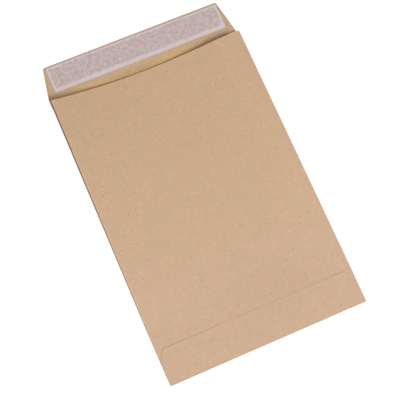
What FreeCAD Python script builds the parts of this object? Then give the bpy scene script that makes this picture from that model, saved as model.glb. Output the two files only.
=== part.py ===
import FreeCAD, Part
import math
import os

import Sketcher

# A large kraft pocket envelope with pleated sides, lying on its front with the seal flap laid open.
# Origin: middle of the front panel's underside. X runs across the pocket, Y up to the seal flap, and
# +Z away from the table. All lengths are in millimetres.

doc = FreeCAD.newDocument("paper_envelope")

sizes = doc.addObject("Spreadsheet::Sheet", "sizes")
driving_sizes = [
    ("pocket_width", 254.0, "side fold to side fold, pressed flat"),
    ("pocket_height", 381.0, "bottom fold to the seal flap's fold"),
    ("paper", 0.2, "thickness of the kraft sheet"),
    ("ply_slack", 0.1, "air left over a glued lap between two plies"),
    ("gusset", 25.0, "paper in each side pleat"),
    ("glue_lap", 14.0, "side seam, glued inside the front panel"),
    ("mouth_shift", 2.9, "sideways drift of the back panel at the mouth"),
    ("mouth_lift_left", 10.5, "top of the back panel's left fold at the mouth"),
    ("mouth_lift_right", 2.2, "top of the back panel's right fold at the mouth"),
    ("mouth_sag", 2.2, "top of the back panel where it sags lowest at the mouth"),
    ("mouth_crest", 7.8, "top of the bulge beside the right fold at the mouth"),
    ("crest_radius", 80.0, "radius of that bulge"),
    ("crest_run", 60.0, "width of paper that the bulge takes up"),
    ("throat_setback", 4.4, "seal flap's fold to the ends of the throat cut"),
    ("throat_dip", 3.5, "depth of the throat cut's curve"),
    ("seal_flap_depth", 45.0, "fold to far edge of the seal flap"),
    ("seal_flap_taper", 8.0, "narrowing of the seal flap on each side"),
    ("seal_flap_corner", 3.0, "radius of the seal flap's far corners"),
    ("bottom_flap_depth", 43.5, "bottom fold to the edge of the bottom flap"),
    ("bottom_flap_shoulder", 27.0, "bottom fold to the start of the slanted corner"),
    ("bottom_flap_taper", 8.0, "narrowing of the bottom flap on each side"),
    ("bottom_flap_corner", 5.0, "radius of the bottom flap's corners"),
    ("liner_thickness", 0.08, "release paper"),
    ("liner_fold_margin", 8.3, "seal flap's fold to the liner"),
    ("liner_far_margin", 2.2, "liner to the seal flap's far edge"),
    ("liner_end_margin", 2.5, "liner's end to the seal flap's far corner, across"),
    ("liner_drift", 0.5, "sideways offset of the liner on the flap"),
    ("liner_skew", 0.08, "degrees by which the liner was laid off square, clockwise"),
    ("adhesive_thickness", 0.1, "sealing adhesive"),
    ("adhesive_fold_inset", 5.4, "bare liner along the side near the pocket"),
    ("adhesive_far_inset", 2.3, "bare liner along the far side"),
    ("adhesive_end_inset", 3.0, "bare liner at each end"),
]
for row, (alias, value, meaning) in enumerate(driving_sizes, start=1):
    sizes.set(f"A{row}", alias)
    sizes.set(f"B{row}", str(value))
    sizes.set(f"C{row}", meaning)
    sizes.setAlias(f"B{row}", alias)
doc.recompute()

# What follows from the driving sizes, as expressions that the sketches and features are bound to
half_width = "(sizes.pocket_width / 2)"
half_height = "(sizes.pocket_height / 2)"
ply_gap = "(sizes.paper + sizes.ply_slack)"
tight_radius = f"({ply_gap} / 2)"
wide_radius = f"(sizes.paper + {ply_gap} / 2)"
stack = f"(4 * sizes.paper + 3 * {ply_gap})"
fold_centre = f"({half_width} - {wide_radius})"
bottom_fold_radius = f"(({stack} + sizes.paper) / 2)"
flap_end = f"({half_height} + sizes.seal_flap_depth)"
throat_ends = f"({half_height} - sizes.throat_setback)"
liner_length = "(sizes.pocket_width - 2 * (sizes.seal_flap_taper + sizes.liner_end_margin))"
liner_breadth = "(sizes.seal_flap_depth - sizes.liner_fold_margin - sizes.liner_far_margin)"
outside = f"({half_width} + sizes.gusset)"


def size(expression):
    """Value of an expression, for the first position of a curve before its sketch is solved."""
    return float(sizes.evalExpression(expression))


def new_body(label):
    body = doc.addObject("PartDesign::Body", label)
    body.Label = label
    body.Placement = FreeCAD.Placement()
    return body


def new_sketch(body, name, role, height="0", across="0", up="0", turn="0"):
    """A sketch on one of the body's own origin planes, moved and turned in that plane."""
    sketch = body.newObject("Sketcher::SketchObject", name)
    origin_plane = next(f for f in body.Origin.OriginFeatures if f.Role == role)
    sketch.AttachmentSupport = (origin_plane, "")
    sketch.MapMode = "FlatFace"
    sketch.setExpression("AttachmentOffset.Base.x", across)
    sketch.setExpression("AttachmentOffset.Base.y", up)
    sketch.setExpression("AttachmentOffset.Base.z", height)
    sketch.setExpression("AttachmentOffset.Rotation.Angle", turn)
    return sketch


def bind(sketch, name, kind, *references, to):
    """A named dimension of the sketch that follows an expression."""
    index = sketch.addConstraint(Sketcher.Constraint(kind, *references, size(to)))
    sketch.renameConstraint(index, name)
    sketch.setExpression(f"Constraints.{name}", to)


def place(sketch, name, curve, vertex, across, up):
    """Both coordinates of a curve's vertex, from the sketch's origin."""
    bind(sketch, f"{name}_across", "DistanceX", -1, 1, curve, vertex, to=across)
    bind(sketch, f"{name}_up", "DistanceY", -1, 1, curve, vertex, to=up)


def vector(pair):
    return FreeCAD.Vector(pair[0], pair[1], 0)


def add_line(sketch, start, end):
    return sketch.addGeometry(Part.LineSegment(vector(start), vector(end)), False)


def add_arc(sketch, centre, radius, start, end):
    """An arc that runs anticlockwise from one angle to the other."""
    circle = Part.Circle(vector(centre), FreeCAD.Vector(0, 0, 1), radius)
    return sketch.addGeometry(Part.ArcOfCircle(circle, start, end), False)


def add_point(sketch, place_of):
    return sketch.addGeometry(Part.Point(vector(place_of)), True)


def tie(sketch, kind, *references):
    sketch.addConstraint(Sketcher.Constraint(kind, *references))


# Outlines that are straight between named corners, each corner sharp or rounded

def draw_outline(sketch, corners):
    """Closed outline; each corner is a name, its two coordinates and a radius or None."""
    spots = [(size(across), size(up)) for _, across, up, _ in corners]
    count = len(corners)
    lines = [add_line(sketch, spots[i], spots[(i + 1) % count]) for i in range(count)]
    for i, (name, across, up, radius) in enumerate(corners):
        before, after = lines[i - 1], lines[i]
        if radius is None:
            tie(sketch, "Coincident", before, 2, after, 1)
            place(sketch, name, after, 1, across, up)
        else:
            round_corner(sketch, name, spots, i, before, after, across, up, radius)


def round_corner(sketch, name, spots, i, before, after, across, up, radius):
    """An arc tangent to both lines, whose sharp corner stays where the dimensions put it."""
    here, last, following = spots[i], spots[i - 1], spots[(i + 1) % len(spots)]
    heading_in = math.atan2(here[1] - last[1], here[0] - last[0])
    heading_out = math.atan2(following[1] - here[1], following[0] - here[0])
    turn = (heading_out - heading_in + math.pi) % (2 * math.pi) - math.pi
    side = 1 if turn > 0 else -1
    reach = size(radius) * math.tan(abs(turn) / 2)
    touch = (here[0] - reach * math.cos(heading_in), here[1] - reach * math.sin(heading_in))
    centre = (touch[0] - side * size(radius) * math.sin(heading_in),
              touch[1] + side * size(radius) * math.cos(heading_in))
    begin = heading_in - side * math.pi / 2
    if side > 0:
        arc = add_arc(sketch, centre, size(radius), begin, begin + turn)
        entry, leave = 1, 2
    else:
        arc = add_arc(sketch, centre, size(radius), begin + turn, begin)
        entry, leave = 2, 1
    corner = add_point(sketch, here)
    place(sketch, name, corner, 1, across, up)
    tie(sketch, "PointOnObject", corner, 1, before)
    tie(sketch, "PointOnObject", corner, 1, after)
    tie(sketch, "Tangent", before, 2, arc, entry)
    tie(sketch, "Tangent", arc, leave, after, 1)
    bind(sketch, f"{name}_radius", "Radius", arc, to=radius)


# The pocket's section. The wire runs anticlockwise round the sheet, seen from the bottom fold with
# the back panel on top: along the front panel, in and out of the right pleat, back along the back
# panel and through the left pleat. A fold turns it left and a pleat's inner fold turns it right, so
# that a turn is a centre and a radius that is negative where the wire turns right.

fold_facets = 4


def fold_places(at_mouth):
    """Centres of the six folds: pressed flat at the bottom, opened at the mouth."""
    low = wide_radius
    if at_mouth:
        left_high = f"(sizes.mouth_lift_left - {wide_radius})"
        right_high = f"(sizes.mouth_lift_right - {wide_radius})"
        drift = "sizes.mouth_shift"
    else:
        left_high = right_high = f"({stack} - {wide_radius})"
        drift = "0"
    left_rise = f"(({left_high} - {low}) / 2)"
    right_rise = f"(({right_high} - {low}) / 2)"
    left_run = f"sqrt(((sizes.gusset + {drift}) / 2)^2 - {left_rise}^2)"
    right_run = f"sqrt(((sizes.gusset - {drift}) / 2)^2 - {right_rise}^2)"
    return [
        ("front_left", f"-{fold_centre}", low, wide_radius, tight_radius, 1),
        ("front_right", fold_centre, low, wide_radius, tight_radius, 1),
        ("right_pleat", f"{fold_centre} - {right_run}", f"{low} + {right_rise}",
         tight_radius, wide_radius, -1),
        ("back_right", f"{fold_centre} + {drift}", right_high, wide_radius, tight_radius, 1),
        ("back_left", f"-{fold_centre} + {drift}", left_high, wide_radius, tight_radius, 1),
        ("left_pleat", f"-{fold_centre} + {left_run}", f"{low} + {left_rise}",
         tight_radius, wide_radius, -1),
    ]


def sagging_turns(right, left):
    """First places of the bulge and the sag that join the back panel's two folds at the mouth.

    The bulge touches the right fold from outside it, the sag touches the bulge and the left fold,
    and the sag's lowest point is at its stated height."""
    fold = size(wide_radius)
    bulge = size("sizes.crest_radius")
    crest = size("sizes.mouth_crest")
    sag = size("sizes.mouth_sag")
    bulge_up = crest - bulge
    bulge_across = right[0] - math.sqrt((bulge - fold) ** 2 - (bulge_up - right[1]) ** 2)
    slope_left = 2 * (fold + left[1] - sag)
    rest_left = fold ** 2 - (left[1] - sag) ** 2
    slope_right = 2 * (crest - sag)
    rest_right = bulge ** 2 - (sag - bulge_up) ** 2
    ratio = slope_right / slope_left
    span = bulge_across - left[0]
    constant = span ** 2 + ratio * rest_left - rest_right
    run = constant / (span + math.sqrt(span ** 2 - (1 - ratio) * constant))
    hollow = (run ** 2 - rest_left) / slope_left
    return (bulge_across, bulge_up), bulge, (left[0] + run, sag + hollow), hollow


def heading(first, second, touching):
    """Direction in which the wire leaves one turn for the next, over a line or where they touch."""
    (x1, y1), r1 = first
    (x2, y2), r2 = second
    if touching:
        return math.atan2((x1 - x2) / (r2 - r1), -(y1 - y2) / (r2 - r1))
    return math.atan2(y2 - y1, x2 - x1) + math.asin((r1 - r2) / math.hypot(x2 - x1, y2 - y1))


def draw_turn(sketch, turn, heading_in, heading_out):
    """The arc of one turn, with the vertices where the wire enters and leaves it."""
    centre, radius = turn
    quarter = math.copysign(math.pi / 2, radius)
    angles = [heading_in - quarter, heading_out - quarter]
    if radius < 0:
        angles.reverse()
    while angles[1] < angles[0]:
        angles[1] += 2 * math.pi
    while angles[1] > angles[0] + 2 * math.pi:
        angles[1] -= 2 * math.pi
    arc = add_arc(sketch, centre, abs(radius), *angles)
    return (arc, 1, 2) if radius > 0 else (arc, 2, 1)


def draw_wire(sketch, turns, touching):
    """Closed wire round the turns; touching holds the turns that meet the next with no line."""
    count = len(turns)
    headings = [heading(turns[i], turns[(i + 1) % count], i in touching) for i in range(count)]
    return [draw_turn(sketch, turns[i], headings[i - 1], headings[i]) for i in range(count)]


def crease(sketch, arc):
    """Narrow flats of one width with their corners on a fold's arc, which stays as a guide."""
    curve = sketch.Geometry[arc]
    sketch.setConstruction(arc, True)
    begin, sweep = curve.FirstParameter, curve.LastParameter - curve.FirstParameter
    angles = [begin + sweep * i / fold_facets for i in range(fold_facets + 1)]
    spots = [(curve.Center.x + curve.Radius * math.cos(angle),
              curve.Center.y + curve.Radius * math.sin(angle)) for angle in angles]
    lines = [add_line(sketch, start, end) for start, end in zip(spots, spots[1:])]
    tie(sketch, "Coincident", lines[0], 1, arc, 1)
    tie(sketch, "Coincident", lines[-1], 2, arc, 2)
    for before, after in zip(lines, lines[1:]):
        tie(sketch, "Coincident", before, 2, after, 1)
        tie(sketch, "PointOnObject", after, 1, arc)
        tie(sketch, "Equal", before, after)


def vertex(sketch, curve, number):
    spot = sketch.getPoint(curve, number)
    return (spot.x, spot.y)


def join(sketch, first, second):
    """A straight ply between two turns, tangent to both."""
    line = add_line(sketch, vertex(sketch, first[0], first[2]), vertex(sketch, second[0], second[1]))
    tie(sketch, "Tangent", first[0], first[2], line, 1)
    tie(sketch, "Tangent", line, 2, second[0], second[1])
    return line


def draw_pocket_section(sketch, at_mouth):
    """Outer and inner wires of the pocket's sheet, one paper's thickness apart."""
    folds = fold_places(at_mouth)
    centres = [(size(across), size(up)) for _, across, up, *_ in folds]
    paper = size("sizes.paper")
    outer_arcs = None
    for surface in ("outer", "inner"):
        outer = surface == "outer"
        radii = [sign * size(out if outer else inside) for *_, out, inside, sign in folds]
        turns = list(zip(centres, radii))
        touching = ()
        if at_mouth:
            bulge_centre, bulge, hollow_centre, hollow = sagging_turns(centres[3], centres[4])
            inset = 0 if outer else paper
            turns[4:4] = [(bulge_centre, bulge - inset), (hollow_centre, -hollow - inset)]
            touching = (3, 4, 5)
        arcs = draw_wire(sketch, turns, touching)
        fold_arcs = arcs[:4] + arcs[-2:]
        for (name, across, up, out, inside, _), (arc, *_) in zip(folds, fold_arcs):
            bind(sketch, f"{surface}_{name}_radius", "Radius", arc, to=out if outer else inside)
            if outer:
                place(sketch, name, arc, 3, across, up)
        if outer:
            outer_arcs = arcs
        else:
            for i, (mine, other) in enumerate(zip(arcs, outer_arcs)):
                if at_mouth and i == 5:
                    tie(sketch, "Horizontal", mine[0], 3, other[0], 3)
                else:
                    tie(sketch, "Coincident", mine[0], 3, other[0], 3)
        if at_mouth:
            close_sagging_panel(sketch, arcs, outer)
        else:
            close_flat_panel(sketch, surface, *fold_arcs[3:5])
        for first, second in ((0, 1), (1, 2), (2, 3), (4, 5), (5, 0)):
            join(sketch, fold_arcs[first], fold_arcs[second])
        for arc, *_ in fold_arcs:
            crease(sketch, arc)


def close_sagging_panel(sketch, arcs, outer):
    """The back panel at the mouth: a bulge and a sag between its two folds."""
    right, bulge, hollow, left = arcs[3:7]
    tie(sketch, "Tangent", right[0], right[2], bulge[0], bulge[1])
    tie(sketch, "Tangent", bulge[0], bulge[2], hollow[0], hollow[1])
    tie(sketch, "Tangent", hollow[0], hollow[2], left[0], left[1])
    if outer:
        bind(sketch, "bulge_radius", "Radius", bulge[0], to="sizes.crest_radius")
        bind(sketch, "bulge_up", "DistanceY", -1, 1, bulge[0], 3,
             to="sizes.mouth_crest - sizes.crest_radius")
        centre = vertex(sketch, hollow[0], 3)
        lowest = add_point(sketch, (centre[0], size("sizes.mouth_sag")))
        tie(sketch, "PointOnObject", lowest, 1, hollow[0])
        tie(sketch, "Vertical", lowest, 1, hollow[0], 3)
        bind(sketch, "lowest_up", "DistanceY", -1, 1, lowest, 1, to="sizes.mouth_sag")
        measure(sketch, "bulge_across", "DistanceX", bulge[0])
        measure(sketch, "hollow_across", "DistanceX", hollow[0])
        measure(sketch, "hollow_up", "DistanceY", hollow[0])


def close_flat_panel(sketch, surface, right, left):
    """The back panel at the bottom: one flat ply, split where the bulge ends at the mouth."""
    start = vertex(sketch, right[0], right[2])
    end = vertex(sketch, left[0], left[1])
    split = (size(f"{half_width} - sizes.crest_run"), start[1])
    first = add_line(sketch, start, split)
    second = add_line(sketch, split, end)
    tie(sketch, "Tangent", right[0], right[2], first, 1)
    tie(sketch, "Tangent", first, 2, second, 1)
    tie(sketch, "Tangent", second, 2, left[0], left[1])
    bind(sketch, f"{surface}_split", "DistanceX", -1, 1, first, 2,
         to=f"{half_width} - sizes.crest_run")


def measure(sketch, name, kind, arc):
    """A dimension that only reports where an arc's centre came to lie."""
    where = vertex(sketch, arc, 3)
    value = where[0] if kind == "DistanceX" else where[1]
    index = sketch.addConstraint(Sketcher.Constraint(kind, -1, 1, arc, 3, value))
    sketch.setDriving(index, False)
    sketch.renameConstraint(index, name)


# The bottom flap's section: a band that lies on the back panel and is glued into its upper half ply

def draw_flap_at_bottom(sketch):
    """Flat band over the pressed pocket, split like the back panel."""
    low = f"({stack} - sizes.paper / 2)"
    high = f"({stack} + sizes.paper)"
    split = f"({half_width} - sizes.crest_run)"
    draw_outline(sketch, [
        ("low_left", f"-{fold_centre}", low, None),
        ("low_split", split, low, None),
        ("low_right", fold_centre, low, None),
        ("high_right", fold_centre, high, None),
        ("high_split", split, high, None),
        ("high_left", f"-{fold_centre}", high, None),
    ])


def draw_flap_at_mouth(sketch):
    """The same band carried up to the mouth, where it follows the bulge and the sag."""
    left = f"(sizes.mouth_shift - {fold_centre})"
    right = f"(sizes.mouth_shift + {fold_centre})"
    bulge = ("pocket_at_mouth.Constraints.bulge_across", "sizes.mouth_crest - sizes.crest_radius")
    hollow = ("pocket_at_mouth.Constraints.hollow_across", "pocket_at_mouth.Constraints.hollow_up")
    bulge_centre = (size(bulge[0]), size(bulge[1]))
    hollow_centre = (size(hollow[0]), size(hollow[1]))
    apart = math.dist(bulge_centre, hollow_centre)
    lean = math.atan2(hollow_centre[1] - bulge_centre[1], hollow_centre[0] - bulge_centre[0])
    chains = []
    for level, lift in (("low", "(0 - sizes.paper / 2)"), ("high", "sizes.paper")):
        bulge_radius = size("sizes.crest_radius") + size(lift)
        hollow_radius = apart - bulge_radius
        at_right = math.acos((size(right) - bulge_centre[0]) / bulge_radius)
        at_left = math.pi + math.acos((hollow_centre[0] - size(left)) / hollow_radius)
        over = add_arc(sketch, bulge_centre, bulge_radius, at_right, lean)
        under = add_arc(sketch, hollow_centre, hollow_radius, at_left, lean + math.pi)
        bind(sketch, f"{level}_bulge_radius", "Radius", over, to=f"sizes.crest_radius + {lift}")
        place(sketch, f"{level}_bulge", over, 3, *bulge)
        place(sketch, f"{level}_hollow", under, 3, *hollow)
        tie(sketch, "Tangent", over, 2, under, 2)
        chains.append((over, under))
    (low_over, low_under), (high_over, high_under) = chains
    for name, low_end, high_end, number, across in (
            ("left", low_under, high_under, 1, left), ("right", low_over, high_over, 1, right)):
        line = add_line(sketch, vertex(sketch, low_end, number), vertex(sketch, high_end, number))
        tie(sketch, "Coincident", line, 1, low_end, number)
        tie(sketch, "Coincident", line, 2, high_end, number)
        tie(sketch, "Vertical", line)
        bind(sketch, f"{name}_end", "DistanceX", -1, 1, line, 1, to=across)


def ruled_loft(body, name, first, last):
    loft = body.newObject("PartDesign::AdditiveLoft", name)
    loft.Profile = first
    loft.Sections = [last]
    loft.Ruled = True
    return loft


def pad(body, name, sketch, length):
    feature = body.newObject("PartDesign::Pad", name)
    feature.Profile = sketch
    feature.setExpression("Length", length)
    return feature


def pocket_upwards(body, name, sketch):
    """Cuts away everything above the sketch."""
    feature = body.newObject("PartDesign::Pocket", name)
    feature.Profile = sketch
    feature.Type = "ThroughAll"
    feature.Reversed = True
    return feature


def make_envelope_sheet():
    """The one folded sheet: bottom flap, pocket with pleated sides, side seam and seal flap."""
    body = new_body("envelope_sheet")

    at_bottom = new_sketch(body, "pocket_at_bottom", "XZ_Plane", height=half_height)
    draw_pocket_section(at_bottom, at_mouth=False)
    at_mouth = new_sketch(body, "pocket_at_mouth", "XZ_Plane", height=f"0 - {half_height}")
    draw_pocket_section(at_mouth, at_mouth=True)
    doc.recompute()

    flap_at_bottom = new_sketch(body, "flap_at_bottom", "XZ_Plane", height=half_height)
    draw_flap_at_bottom(flap_at_bottom)
    flap_at_mouth = new_sketch(body, "flap_at_mouth", "XZ_Plane", height=f"0 - {half_height}")
    draw_flap_at_mouth(flap_at_mouth)
    ruled_loft(body, "flap_band", flap_at_bottom, flap_at_mouth)

    trim = new_sketch(body, "bottom_flap_trim", "XY_Plane")
    shoulder = f"sizes.bottom_flap_shoulder - {half_height}"
    edge = f"sizes.bottom_flap_depth - {half_height}"
    beyond = f"{half_height} + sizes.gusset"
    narrow = f"({half_width} - sizes.bottom_flap_taper)"
    draw_outline(trim, [
        ("left_shoulder", f"-{half_width}", shoulder, None),
        ("left_corner", f"-{narrow}", edge, "sizes.bottom_flap_corner"),
        ("right_corner", narrow, edge, "sizes.bottom_flap_corner"),
        ("right_shoulder", half_width, shoulder, None),
        ("right_low", outside, shoulder, None),
        ("right_high", outside, beyond, None),
        ("left_high", f"-{outside}", beyond, None),
        ("left_low", f"-{outside}", shoulder, None),
    ])
    pocket_upwards(body, "bottom_flap_edge", trim)

    ruled_loft(body, "pocket", at_bottom, at_mouth)

    fold = new_sketch(body, "bottom_fold_section", "YZ_Plane")
    draw_bottom_fold(fold)
    wrap = pad(body, "bottom_fold", fold, f"2 * {fold_centre}")
    wrap.Midplane = True

    seam = new_sketch(body, "side_seam_outline", "XY_Plane", height="sizes.paper / 2")
    draw_outline(seam, [
        ("inner_low", f"{fold_centre} - sizes.glue_lap", f"-{half_height}", None),
        ("outer_low", fold_centre, f"-{half_height}", None),
        ("outer_high", fold_centre, half_height, None),
        ("inner_high", f"{fold_centre} - sizes.glue_lap", half_height, None),
    ])
    pad(body, "side_seam", seam, "1.5 * sizes.paper")

    throat = new_sketch(body, "throat_outline", "XY_Plane", height="sizes.paper")
    draw_throat(throat)
    pocket_upwards(body, "throat_cut", throat)

    seal = new_sketch(body, "seal_flap_outline", "XY_Plane")
    far = f"({half_width} - sizes.seal_flap_taper)"
    draw_outline(seal, [
        ("left_fold", f"-{half_width}", half_height, None),
        ("right_fold", half_width, half_height, None),
        ("right_far", far, flap_end, "sizes.seal_flap_corner"),
        ("left_far", f"-{far}", flap_end, "sizes.seal_flap_corner"),
    ])
    pad(body, "seal_flap", seal, "sizes.paper")
    return body


def draw_bottom_fold(sketch):
    """The sheet turning round the pressed pocket's end, from under it to over it."""
    outer = size(bottom_fold_radius)
    paper = size("sizes.paper")
    centre = (-size(half_height), outer)
    outer_arc = add_arc(sketch, centre, outer, math.pi / 2, 3 * math.pi / 2)
    inner_arc = add_arc(sketch, centre, outer - paper, math.pi / 2, 3 * math.pi / 2)
    place(sketch, "fold", outer_arc, 3, f"-{half_height}", bottom_fold_radius)
    tie(sketch, "Coincident", inner_arc, 3, outer_arc, 3)
    bind(sketch, "outer_radius", "Radius", outer_arc, to=bottom_fold_radius)
    bind(sketch, "inner_radius", "Radius", inner_arc, to=f"{bottom_fold_radius} - sizes.paper")
    for number in (1, 2):
        line = add_line(sketch, vertex(sketch, outer_arc, number),
                        vertex(sketch, inner_arc, number))
        tie(sketch, "Coincident", line, 1, outer_arc, number)
        tie(sketch, "Coincident", line, 2, inner_arc, number)
        tie(sketch, "Vertical", line)
        tie(sketch, "Vertical", line, 1, outer_arc, 3)


def draw_throat(sketch):
    """A shallow curve across the mouth, and everything beyond it."""
    reach = size(half_width)
    ends = size(throat_ends)
    dip = size("sizes.throat_dip")
    radius = (reach ** 2 + dip ** 2) / (2 * dip)
    spread = math.asin(reach / radius)
    curve = add_arc(sketch, (0, ends - dip + radius), radius,
                    1.5 * math.pi - spread, 1.5 * math.pi + spread)
    beyond = size(f"{half_height} + sizes.gusset")
    wide = size(outside)
    spots = [(reach, ends), (wide, ends), (wide, beyond), (-wide, beyond), (-wide, ends), (-reach, ends)]
    lines = [add_line(sketch, a, b) for a, b in zip(spots, spots[1:])]
    place(sketch, "right_end", curve, 2, half_width, throat_ends)
    place(sketch, "left_end", curve, 1, f"-{half_width}", throat_ends)
    lowest = add_point(sketch, (0, ends - dip))
    place(sketch, "lowest", lowest, 1, "0", f"{throat_ends} - sizes.throat_dip")
    tie(sketch, "PointOnObject", lowest, 1, curve)
    tie(sketch, "Coincident", curve, 2, lines[0], 1)
    for first, second in zip(lines, lines[1:]):
        tie(sketch, "Coincident", first, 2, second, 1)
    tie(sketch, "Coincident", lines[-1], 2, curve, 1)
    for line in (lines[0], lines[2], lines[4]):
        tie(sketch, "Horizontal", line)
    for line in (lines[1], lines[3]):
        tie(sketch, "Vertical", line)
    place(sketch, "right_high", lines[1], 2, outside, f"{half_height} + sizes.gusset")
    bind(sketch, "left_across", "DistanceX", -1, 1, lines[3], 1, to=f"-{outside}")


def make_strip(label, height, thickness, fold_inset, far_inset, end_inset):
    """A strip on the seal flap, set in from the liner's outline and turned with it."""
    body = new_body(label)
    middle = f"{half_height} + sizes.liner_fold_margin + {liner_breadth} / 2"
    sketch = new_sketch(body, f"{label}_outline", "XY_Plane", height=height,
                        across="sizes.liner_drift", up=middle, turn="0 - sizes.liner_skew")
    end = f"({liner_length} / 2 - {end_inset})"
    near = f"{fold_inset} - {liner_breadth} / 2"
    far = f"{liner_breadth} / 2 - {far_inset}"
    draw_outline(sketch, [
        ("left_near", f"-{end}", near, None),
        ("right_near", end, near, None),
        ("right_far", end, far, None),
        ("left_far", f"-{end}", far, None),
    ])
    pad(body, f"{label}_pad", sketch, thickness)
    return body


envelope_sheet = make_envelope_sheet()
adhesive_strip = make_strip("adhesive_strip", "sizes.paper", "sizes.adhesive_thickness",
                            "sizes.adhesive_fold_inset", "sizes.adhesive_far_inset",
                            "sizes.adhesive_end_inset")
release_liner = make_strip("release_liner", "sizes.paper + sizes.adhesive_thickness",
                           "sizes.liner_thickness", "0", "0", "0")
sub_parts = [envelope_sheet, adhesive_strip, release_liner]
doc.recompute()

for thing in doc.Objects:
    if "Invalid" in thing.State or "Error" in thing.State:
        raise RuntimeError(f"{thing.Label} failed: {thing.State}")
for part in sub_parts:
    if part.Shape.isNull() or not part.Shape.isValid() or len(part.Shape.Solids) != 1:
        raise RuntimeError(f"{part.Label} is not one valid solid")

os.makedirs("parts", exist_ok=True)
for part in sub_parts:
    part.Shape.exportStep(f"parts/{part.Label}.step")
    box = part.Shape.BoundBox
    print(f"{part.Label}: {part.Shape.Volume:.1f} mm3, x {box.XMin:.2f} to {box.XMax:.2f}, "
          f"y {box.YMin:.2f} to {box.YMax:.2f}, z {box.ZMin:.3f} to {box.ZMax:.3f}")
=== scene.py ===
import math
import bmesh
import bpy
import numpy as np
from mathutils import Matrix


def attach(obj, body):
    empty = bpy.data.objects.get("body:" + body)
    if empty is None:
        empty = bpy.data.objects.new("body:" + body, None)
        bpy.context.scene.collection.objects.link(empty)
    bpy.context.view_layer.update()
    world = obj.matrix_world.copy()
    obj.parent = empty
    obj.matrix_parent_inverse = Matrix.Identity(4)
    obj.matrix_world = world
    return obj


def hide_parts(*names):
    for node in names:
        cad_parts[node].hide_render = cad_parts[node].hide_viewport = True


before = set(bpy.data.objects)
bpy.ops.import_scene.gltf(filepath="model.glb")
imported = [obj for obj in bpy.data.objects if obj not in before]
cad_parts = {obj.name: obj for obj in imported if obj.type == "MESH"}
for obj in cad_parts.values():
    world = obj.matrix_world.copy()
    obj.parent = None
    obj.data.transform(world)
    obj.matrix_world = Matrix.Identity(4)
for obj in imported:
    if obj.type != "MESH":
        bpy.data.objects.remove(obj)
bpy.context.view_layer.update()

# A large kraft pocket envelope on its front, with pleated sides, the seal flap laid open and the mouth
# a little open. Lengths are in millimetres until a mesh is made: x across, y up to the flap, z up.

mm = 0.001

pocket = {
    "width": 254.0,             # side fold to side fold, pressed flat
    "height": 381.0,            # bottom fold to the seal flap's fold
    "paper": 0.2,               # thickness of the sheet
    "slack": 0.03,              # air left over the glued lap between two pressed plies
    "gusset": 25.0,             # paper in each side pleat
    "drift": 2.9,               # sideways shift of the back panel at the mouth
    "liftLeft": 10.5,           # top of the back panel's left fold at the mouth
    "liftRight": 1.2,           # and of its right fold
    "sag": 2.2,                 # top of the back panel where it sags lowest at the mouth
    "crest": 7.8,               # top of the bulge beside the right fold
    "crestRadius": 80.0,        # of that bulge's outside
    "leftOutset": 0.2,          # how far out the left folds sit
    "rightOutset": 0.4,         # how far out the right folds sit
    "bottomReach": 0.3,         # how far the bottom fold lies beyond its nominal place
    "mouthOutset": 1.3,         # how far out the open pleat pushes the back panel's left fold
    "mouthInset": 0.45,         # how much further in the front panel's left fold sits at the mouth
    "mouthReach": 0.25,         # how much further out the back panel's right fold sits there
    "throatSetback": 4.4,       # seal flap's fold to the ends of the throat's edge
    "throatDip": 3.5,           # depth of the throat's curve
    "throatRise": 2.3,          # how much higher the throat is cut beside its right end
    "throatLeftRise": 1.5,      # and towards its left end
    "glueLap": 14.0,            # side seam inside the front panel
    "lapSetback": 0.4,          # throat's edge to the lap's upper end
    "waves": 0.09,              # height of each of the three long waves in the back panel
    "rows": 90,                 # grid rows up the pocket
    "foldSteps": 8,             # steps round a fold, across a pleat's ply and across the back panel
    "plySteps": 10,
    "panelSteps": 130,
    "bulgeSteps": 200,          # finer steps, from which the back panel's even ones are taken
    "sagSteps": 800,
    "leftWearAndHighlight": 0.55,           # the left fold's pale band, wear and a painted highlight over its shade, reaches further: this share of the real distance
    "foldWearAndHighlight": 0.6,            # and on the fold itself it is that of this distance
}

halfWidth = pocket["width"] / 2
halfHeight = pocket["height"] / 2
bottom = halfHeight + pocket["bottomReach"]
paper = pocket["paper"]
ply = paper + pocket["slack"]                   # room that the lap takes between two plies
wideRadius = paper + ply / 2                    # of a fold's outside
foldRadius = wideRadius - paper / 2             # of the sheet's middle
stack = 4 * paper + 3 * ply                     # height of the pressed pocket
foldCentre = halfWidth - wideRadius
weldReach = 0.002                               # points closer than this become one
sharpAngle = 50                                 # degrees past which an edge is shaded as a corner
farAway = 6.0                                   # a distance past the reach of all wear and soil


# Mesh making

def gridFaces(rows, columns, first=0):
    # four-sided faces between neighbouring points of a grid whose points are numbered row by row
    corner = first + (np.arange(rows - 1)[:, None] * columns + np.arange(columns - 1)[None, :])
    return np.stack([corner, corner + 1, corner + columns + 1, corner + columns], axis=-1).reshape(-1, 4)


def joinGrids(grids):
    # one list of points and one of faces out of several grids of shape (rows, columns, 3)
    points, faces, first = [], [], 0
    for grid in grids:
        rows, columns = grid.shape[:2]
        points.append(grid.reshape(-1, 3))
        faces.append(gridFaces(rows, columns, first))
        first += rows * columns
    return np.concatenate(points), np.concatenate(faces)


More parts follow.
